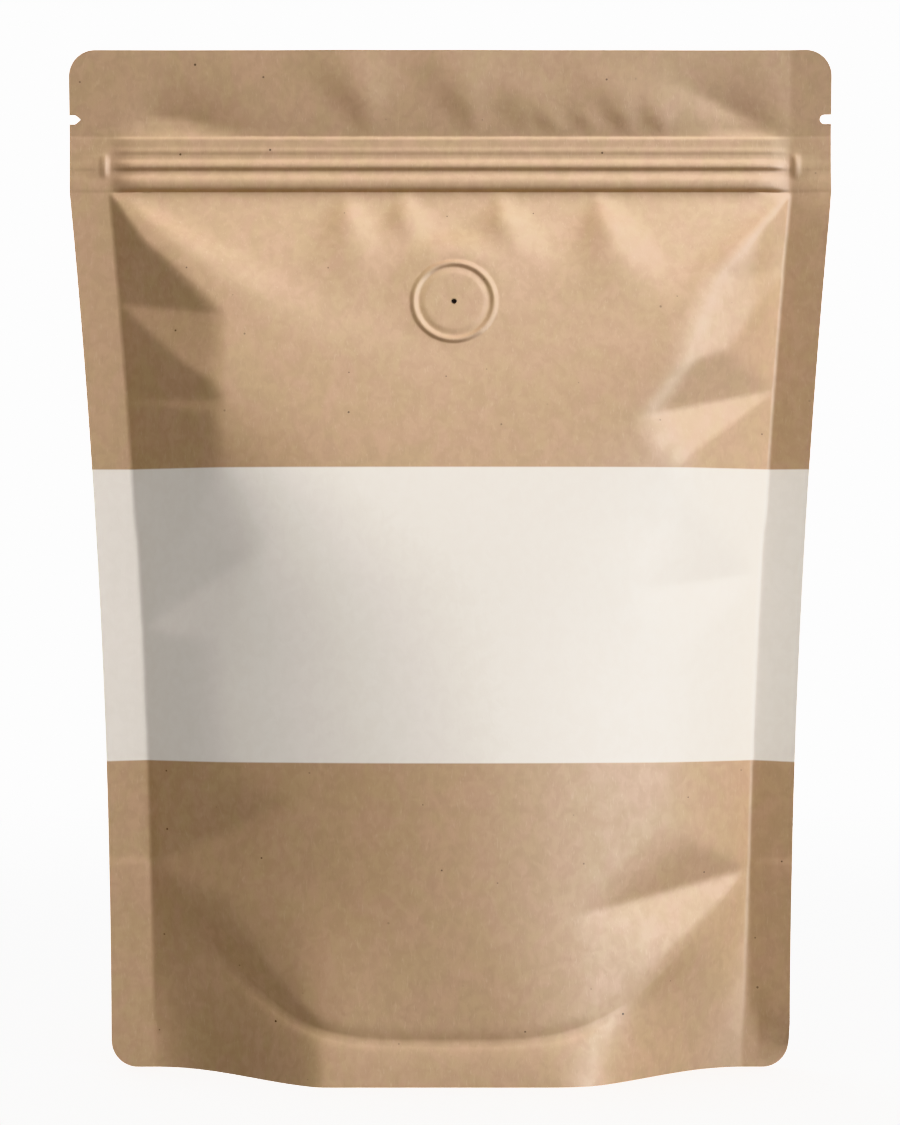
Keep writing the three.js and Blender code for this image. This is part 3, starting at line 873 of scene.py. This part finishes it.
def outward(mesh):
    """Turns every face of a closed mesh outwards."""
    bm = bmesh.new()
    bm.from_mesh(mesh)
    bmesh.ops.recalc_face_normals(bm, faces=bm.faces)
    bm.to_mesh(mesh)
    bm.free()


def add_cutter(name, points, faces):
    made = add_object(name, mesh_of(name, points, faces))
    outward(made.data)
    return made


def through_cutter(name, outline):
    """A prism right through the pouch from front to back, from an outline of x and z."""
    count = len(outline)
    points = [(x, y, z) for y in (-CUT_DEPTH / 2, CUT_DEPTH / 2) for x, z in outline]
    faces = [list(range(count)), list(range(2 * count - 1, count - 1, -1))]
    faces += [[i, i + count, (i + 1) % count + count, (i + 1) % count] for i in range(count)]
    return add_cutter(name, points, faces)


def arc(centre, radius, start, end, count):
    """Points of an arc, by angles in degrees."""
    angles = np.radians(np.linspace(start, end, count))
    return [(centre[0] + radius * math.cos(a), centre[1] + radius * math.sin(a)) for a in angles]


def die_cuts(shape):
    """Cutters for the rounded corners and the two tear notches: pointed on the left, round on the right."""
    radius = shape.corner_radius
    top = shape.half_width(shape.height) - radius
    foot = shape.half_width(0) - radius
    over = radius + CUT_OVER
    high = shape.height + CUT_OVER
    upper = arc((top, shape.height - radius), radius, 0, 90, CORNER_POINTS)
    upper += [(top, high), (top + over, high), (top + over, shape.height - radius)]
    lower = arc((foot, radius), radius, 0, -90, CORNER_POINTS)
    lower += [(foot, -CUT_OVER), (foot + over, -CUT_OVER), (foot + over, radius)]
    half = shape.notch_width / 2
    end = shape.half_width(shape.notch_height) + CUT_OVER
    deep = shape.half_width(shape.notch_height) - shape.notch_depth
    pointed = [(deep, 0)] + [(deep + along, half * share) for along, share in NOTCH_TIP] + [(end, half)]
    pointed += [(x, -z) for x, z in pointed[:0:-1]]
    rounded = arc((deep + half, 0), half, 90, 270, NOTCH_POINTS) + [(end, -half), (end, half)]
    cutters = []
    for side, name, notch in ((-1, "left", pointed), (1, "right", rounded)):
        notch = [(x, z + shape.notch_height) for x, z in notch]
        for kind, outline in (("top", upper), ("foot", lower), ("notch", notch)):
            cutters.append(through_cutter(f"{kind}_{name}", [(side * x, z) for x, z in outline]))
    return cutters


def gusset_hollow(shape):
    """Cutter for the hollow under the pouch: the skirts' inner faces and the gusset between them."""
    across = np.linspace(-GUSSET_END, GUSSET_END, GUSSET_COLUMNS)[:, None]
    seal = shape.foot_seal(across)
    fold = np.minimum(seal - FOLD_DROP, BELLY_LIFT * np.abs(across) ** BELLY_CURVE - BELLY_DROP)
    under = np.full_like(seal, -BELOW_GROUND)
    skirt = seal * np.arange(SKIRT_ROWS) / SKIRT_ROWS
    shares = np.linspace(-1, 1, GUSSET_ROWS)
    gusset = lerp(fold, seal - SEAL_BAND, np.abs(shares) ** GUSSET_CURVE)
    z = np.hstack([under, skirt, gusset, skirt[:, ::-1], under])
    wall = np.ones(SKIRT_ROWS + 1)
    share = np.concatenate([-wall, shares, wall])
    across = np.broadcast_to(across, z.shape)
    height = np.maximum(z, 0)
    reach = np.where(share < 0, shape.front_depth(across, height), shape.back_depth(across, height))
    y = share * (shape.film / 2 + reach - shape.skirt_wall)
    points = np.stack([across * shape.seal_line(height), y, z], -1).reshape(-1, 3)
    loops, size = z.shape
    faces = [list(range(size)), list(range(len(points) - 1, len(points) - size - 1, -1))]
    for i in range(loops - 1):
        for j in range(size):
            k = (j + 1) % size
            faces.append([i * size + j, i * size + k, (i + 1) * size + k, (i + 1) * size + j])
    return add_cutter("gusset_hollow", points, faces)


def vent_cutter(shape):
    """Cutter for the valve's pin hole, square to the front there."""
    mesh = bpy.data.meshes.new("vent")
    bm = bmesh.new()
    radius = shape.vent_radius * MM
    sizes = {"radius1": radius, "radius2": radius, "depth": VENT_DEPTH * MM}
    bmesh.ops.create_cone(bm, cap_ends=True, segments=VENT_SEGMENTS, **sizes)
    tilt = math.atan(-shape.valve_slope)
    place = Vector((shape.valve_x, -(shape.film / 2 + shape.valve_depth), shape.valve_z)) * MM
    bm.transform(Matrix.Translation(place) @ Matrix.Rotation(math.pi / 2 + tilt, 4, "X"))
    bm.to_mesh(mesh)
    bm.free()
    return add_object("vent", mesh)


def printed_band(tree, axes, sizes):
    """How far a place is inside the printed band, whose lower edge drops a little towards the sides."""
    square = {0: axes["X"], 1: axes["X"]}
    square = add_node(tree, "ShaderNodeMath", square, operation="MULTIPLY").outputs[0]
    sagged = {0: square, 1: BAND_SAG, 2: axes["Z"]}
    sagged = add_node(tree, "ShaderNodeMath", sagged, operation="MULTIPLY_ADD").outputs[0]
    soft = BAND_SOFT * MM
    above = {"Value": sagged, "From Min": sizes.band_bottom - soft, "From Max": sizes.band_bottom + soft}
    above = add_node(tree, "ShaderNodeMapRange", above).outputs[0]
    below = {"Value": axes["Z"], "From Min": sizes.band_top + soft, "From Max": sizes.band_top - soft}
    below = add_node(tree, "ShaderNodeMapRange", below).outputs[0]
    return add_node(tree, "ShaderNodeMath", {0: above, 1: below}, operation="MULTIPLY").outputs[0]


def paper_grain(tree, place):
    """The paper's layers of noise, by their names."""
    grain = {}
    for layer in GRAINS:
        stretch = (1, 1, layer.width / layer.length)
        turned = {"Vector": place, "Rotation": (0, layer.turn, 0), "Scale": stretch}
        turned = add_node(tree, "ShaderNodeMapping", turned).outputs[0]
        noise = {"Vector": turned, "Scale": 1 / (layer.width * MM), "Detail": GRAIN_DETAIL}
        noise |= {"Roughness": GRAIN_ROUGHNESS, "Distortion": GRAIN_DISTORTION}
        noise = add_node(tree, "ShaderNodeTexNoise", noise).outputs[0]
        clear = {"Value": noise, "From Min": layer.low, "From Max": layer.full}
        clear = add_node(tree, "ShaderNodeMapRange", clear, interpolation_type="SMOOTHSTEP")
        grain[layer.name] = clear.outputs[0]
    return grain


def paper_marks(tree, axes, sizes):
    """How dark the bark specks are, which differ from front to back, and the pin hole's painted shade."""
    behind = {0: axes["Y"], 1: 0.0}
    behind = add_node(tree, "ShaderNodeMath", behind, operation="GREATER_THAN").outputs[0]
    apart = add_node(tree, "ShaderNodeMath", {0: behind, 1: axes["X"]}, operation="ADD").outputs[0]
    flat = add_node(tree, "ShaderNodeCombineXYZ", {"X": apart, "Y": axes["Z"]}).outputs[0]
    spots = {"Vector": flat, "Scale": 1 / (SPECK_SPACING * MM)}
    spots = add_node(tree, "ShaderNodeTexVoronoi", spots, voronoi_dimensions="2D").outputs
    chance = add_node(tree, "ShaderNodeSeparateColor", {0: spots["Color"]}).outputs
    size = {0: chance["Green"], 1: SPECK_MORE, 2: SPECK_LEAST}
    size = add_node(tree, "ShaderNodeMath", size, operation="MULTIPLY_ADD").outputs[0]
    speck = {0: spots["Distance"], 1: size}
    speck = add_node(tree, "ShaderNodeMath", speck, operation="LESS_THAN").outputs[0]
    speck = add_node(tree, "ShaderNodeMath", {0: speck, 1: chance["Red"]}, operation="MULTIPLY").outputs[0]
    # Painted shade: the pin hole is coloured dark where its inside lies in shade.
    away = {0: flat, 1: (sizes.valve_x, sizes.valve_z, 0)}
    away = add_node(tree, "ShaderNodeVectorMath", away, operation="DISTANCE").outputs["Value"]
    hole_shade = {0: away, 1: sizes.vent_radius * HOLE_SHADE_EDGE}
    hole_shade = add_node(tree, "ShaderNodeMath", hole_shade, operation="LESS_THAN").outputs[0]
    return speck, hole_shade


def kraft_paper(sizes, colours):
    """Unbleached kraft paper under a satin film, with a pale band printed across it.

    The paper is cloudy, with fine fibres and sparse specks of bark. The film gives a soft, broad sheen."""
    material = bpy.data.materials.new("satin_kraft_paper")
    material.use_nodes = True
    tree = material.node_tree
    tree.nodes.clear()
    place = add_node(tree, "ShaderNodeTexCoord").outputs["Object"]
    axes = add_node(tree, "ShaderNodeSeparateXYZ", {0: place}).outputs
    grain = paper_grain(tree, place)
    speck, hole_shade = paper_marks(tree, axes, sizes)

    layers = []
    for layer in GRAINS:
        some = {0: grain[layer.name], 1: layer.share}
        some = add_node(tree, "ShaderNodeMath", some, operation="MULTIPLY").outputs[0]
        layers.append((some, getattr(colours, layer.colour)))
    tone = (*colours.kraft, 1)
    # The vent colour laid over the pin hole is painted shade.
    for share, over in [*layers, (speck, colours.speck), (hole_shade, colours.vent)]:
        mixed = {0: share, 6: tone, 7: (*over, 1)}
        tone = add_node(tree, "ShaderNodeMix", mixed, data_type="RGBA").outputs[2]
    thin = {0: grain["clouds"], 1: BAND_CLOUDS}
    thin = add_node(tree, "ShaderNodeMath", thin, operation="MULTIPLY").outputs[0]
    band = {0: thin, 6: (*colours.band, 1), 7: (*colours.kraft_dark, 1)}
    band = add_node(tree, "ShaderNodeMix", band, data_type="RGBA").outputs[2]
    tone = {0: printed_band(tree, axes, sizes), 6: tone, 7: band}
    tone = add_node(tree, "ShaderNodeMix", tone, data_type="RGBA").outputs[2]

    rough = {0: grain["clouds"], 1: ROUGHNESS_CLOUDS, 2: ROUGHNESS}
    rough = add_node(tree, "ShaderNodeMath", rough, operation="MULTIPLY_ADD").outputs[0]
    fuzz = {0: grain["pale_fibres"], 1: grain["clouds"]}
    fuzz = add_node(tree, "ShaderNodeMath", fuzz, operation="ADD").outputs[0]
    bump = {"Height": fuzz, "Strength": FUZZ_STRENGTH, "Distance": FUZZ_HEIGHT * MM}
    bump = add_node(tree, "ShaderNodeBump", bump).outputs[0]
    # A clear film has an IOR of about 1.5. A satin one is less glossy, so it is matched lower.
    shader = {"Base Color": tone, "Roughness": rough, "Normal": bump, "IOR": FILM_IOR}
    shader = add_node(tree, "ShaderNodeBsdfPrincipled", shader).outputs[0]
    add_node(tree, "ShaderNodeOutputMaterial", {"Surface": shader})
    return material


class PaperPouch(bpy.types.Operator):
    """Make the filled pouch: panels, side seals, pressed zip, valve ring, gusset and die cuts"""

    bl_idname = "kraft_pouch.paper_pouch"
    bl_label = "Paper pouch"

    def execute(self, context):
        sizes = context.scene.pouch_sizes
        shape = PouchShape(sizes)
        mesh = pouch_skin(shape)
        mark_skin(mesh, shape)
        pouch = add_object("paper_pouch", mesh)
        paper = kraft_paper(sizes, context.scene.pouch_colours)
        pressed = pouch.modifiers.new("pressed_paper", "NODES")
        pressed.node_group = pressed_paper_tree(shape)
        values = {
            "Zip bottom": sizes.zip_bottom,
            "Zip top": sizes.zip_top,
            "Relief": MM,
            "Buckle": sizes.buckle,
            "Seed": BUCKLE_SEED,
            "Paper": paper,
        }
        set_inputs(pressed, values)
        baked(pouch)
        cut_with(pouch, [gusset_hollow(shape), vent_cutter(shape), *die_cuts(shape)])
        pouch.data.materials.clear()
        pouch.data.materials.append(paper)
        pouch.data.shade_smooth()
        pouch.data.set_sharp_from_angle(angle=math.radians(SHARP_ANGLE))
        if not pouch.data.polygons:
            raise RuntimeError("the pouch has no faces")
        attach(pouch, "root")
        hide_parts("pouch")
        return {"FINISHED"}


class Studio(bpy.types.Operator):
    """Make the pale floor, the soft lights and the camera"""

    bl_idname = "kraft_pouch.studio"
    bl_label = "Studio"

    def execute(self, context):
        self.add_floor(context)
        self.add_lights(context)
        self.add_world(context)
        self.add_camera(context)
        return {"FINISHED"}

    def add_floor(self, context):
        mesh = bpy.data.meshes.new("studio_floor")
        bm = bmesh.new()
        bmesh.ops.create_circle(bm, cap_ends=True, segments=FLOOR_SEGMENTS, radius=FLOOR_RADIUS)
        bm.to_mesh(mesh)
        bm.free()
        floor = add_object("studio_floor", mesh)
        material = bpy.data.materials.new("matt_white_floor")
        material.use_nodes = True
        tree = material.node_tree
        shader = tree.nodes["Principled BSDF"]
        shader.inputs["Base Color"].default_value = (*context.scene.pouch_colours.floor, 1)
        shader.inputs["Roughness"].default_value = FLOOR_ROUGHNESS
        shader.inputs["Emission Color"].default_value = WHITE
        shader.inputs["Emission Strength"].default_value = FLOOR_GLOW
        place = add_node(tree, "ShaderNodeTexCoord").outputs["Object"]
        away = add_node(tree, "ShaderNodeVectorMath", {0: place}, operation="LENGTH").outputs["Value"]
        fade = {"Value": away, "From Min": FLOOR_FADE[0], "From Max": FLOOR_FADE[1]}
        fade = add_node(tree, "ShaderNodeMapRange", fade, interpolation_type="SMOOTHSTEP").outputs[0]
        clear = add_node(tree, "ShaderNodeBsdfTransparent").outputs[0]
        mixed = add_node(tree, "ShaderNodeMixShader", {0: fade, 1: shader.outputs[0], 2: clear}).outputs[0]
        tree.links.new(mixed, tree.nodes["Material Output"].inputs["Surface"])
        mesh.materials.append(material)
        floor.visible_diffuse = False
        floor.visible_glossy = False

    def add_lights(self, context):
        aim = Vector(LAMP_AIM)
        for lamp in LAMPS:
            data = bpy.data.lights.new(lamp.name, "AREA")
            data.shape = "RECTANGLE"
            data.size, data.size_y = lamp.size
            data.energy = lamp.watts
            data.use_shadow = lamp.shadow
            made = bpy.data.objects.new(lamp.name, data)
            made.location = aim + Vector(lamp.way).normalized() * LAMP_DISTANCE
            made.rotation_euler = (aim - made.location).to_track_quat("-Z", "Y").to_euler()
            made.visible_diffuse = lamp.matt
            context.scene.collection.objects.link(made)

    def add_world(self, context):
        """A white room that lights the pouch softly, and looks brighter than that behind it."""
        world = bpy.data.worlds.new("white_studio")
        world.use_nodes = True
        tree = world.node_tree
        tree.nodes.clear()
        seen = add_node(tree, "ShaderNodeLightPath").outputs["Is Camera Ray"]
        strength = {"Value": seen, "To Min": WORLD_LIGHT, "To Max": WORLD_SEEN}
        strength = add_node(tree, "ShaderNodeMapRange", strength).outputs[0]
        glow = add_node(tree, "ShaderNodeBackground", {"Color": WHITE, "Strength": strength}).outputs[0]
        add_node(tree, "ShaderNodeOutputWorld", {"Surface": glow})
        context.scene.world = world
        context.scene.view_settings.view_transform = "Khronos PBR Neutral"

    def add_camera(self, context):
        data = bpy.data.cameras.new("camera")
        data.sensor_width = CAMERA_SENSOR
        data.lens = CAMERA_LENS
        camera = bpy.data.objects.new("camera", data)
        camera.location = CAMERA_PLACE
        camera.rotation_euler = (math.pi / 2, 0, 0)
        context.scene.collection.objects.link(camera)
        context.scene.camera = camera


class PouchPanel(bpy.types.Panel):
    """The pouch's tools and sizes"""

    bl_idname = "VIEW3D_PT_kraft_pouch"
    bl_label = "Kraft paper pouch"
    bl_space_type = "VIEW_3D"
    bl_region_type = "UI"
    bl_category = "Pouch"

    def draw(self, context):
        for operator in (PaperPouch, Studio):
            self.layout.operator(operator.bl_idname)
        for group in (context.scene.pouch_sizes, context.scene.pouch_colours):
            for name in group.__annotations__:
                self.layout.prop(group, name)


CLASSES = (PouchSizes, PouchColours, PaperPouch, Studio, PouchPanel)


def register():
    for kind in CLASSES:
        bpy.utils.register_class(kind)
    bpy.types.Scene.pouch_sizes = bpy.props.PointerProperty(type=PouchSizes)
    bpy.types.Scene.pouch_colours = bpy.props.PointerProperty(type=PouchColours)


def unregister():
    del bpy.types.Scene.pouch_colours
    del bpy.types.Scene.pouch_sizes
    for kind in reversed(CLASSES):
        bpy.utils.unregister_class(kind)


def main():
    register()
    bpy.ops.kraft_pouch.studio()
    bpy.ops.kraft_pouch.paper_pouch()


if __name__ == "__main__":
    main()
